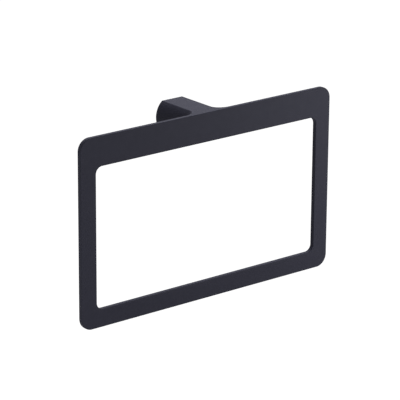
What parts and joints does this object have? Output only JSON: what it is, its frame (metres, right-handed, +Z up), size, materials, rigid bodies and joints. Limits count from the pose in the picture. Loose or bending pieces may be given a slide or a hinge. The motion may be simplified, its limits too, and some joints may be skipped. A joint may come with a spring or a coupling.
{
  "type": "rectangular towel ring",
  "caption": "Wall-mounted towel ring in matte black: a thin rounded rectangular frame, cast in one piece with a short flat-topped post that hides its wall bracket.",
  "frame": {"origin": "where the axis of the round post meets the wall, midway between the two screw holes of the bracket", "axes": "+X along the width of the ring, +Y into the wall, +Z up; the front of the ring faces -Y"},
  "size_m": [0.25, 0.0479, 0.154],
  "materials": {
    "black_powder_coat": "matte black powder coat on a zinc alloy casting",
    "bracket_zinc": "bare zinc alloy, as cast",
    "set_screw_steel": "plain stainless steel"
  },
  "bodies": {
    "root": {"towel_ring": "black_powder_coat", "wall_bracket": "bracket_zinc", "set_screw": "set_screw_steel"}
  },
  "joints": []
}
